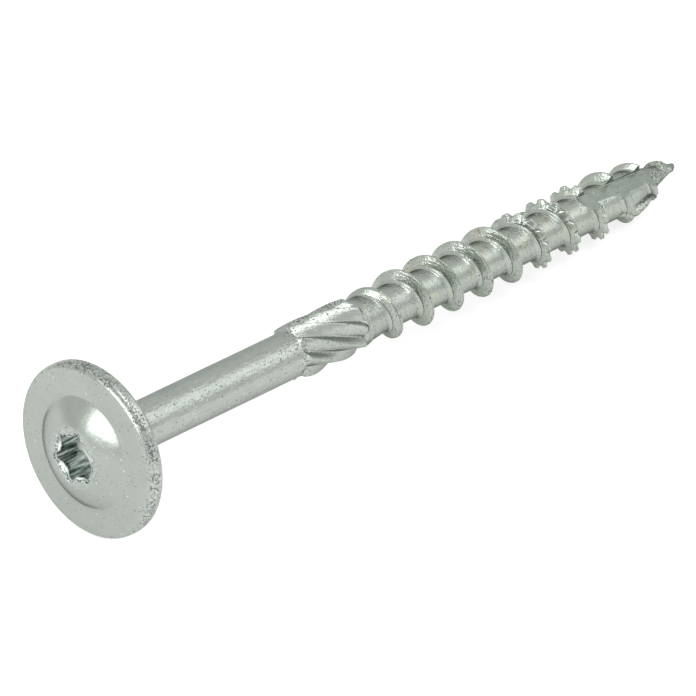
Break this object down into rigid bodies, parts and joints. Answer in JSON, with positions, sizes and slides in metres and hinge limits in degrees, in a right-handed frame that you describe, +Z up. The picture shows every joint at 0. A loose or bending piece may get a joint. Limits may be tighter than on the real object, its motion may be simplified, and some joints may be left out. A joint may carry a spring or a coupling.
{
  "type": "washer head wood screw",
  "caption": "Long wood screw with a wide flat washer head, low dome and six-lobe socket, ribbed shank, coarse thread with toothed crests and a cut notch at the point.",
  "frame": {"origin": "middle of the screw's length, on the surface that it rests on", "axes": "+X along the screw from the head to the point, +Z up, +Y across; the axis dips a little towards the point because the screw rests on its rim and its thread"},
  "size_m": [0.1042, 0.022, 0.022],
  "materials": {
    "zinc": "bright zinc plating over rolled steel, pale grey with a faint green tint, slightly uneven"
  },
  "bodies": {
    "root": {"screw": "zinc"}
  },
  "joints": []
}
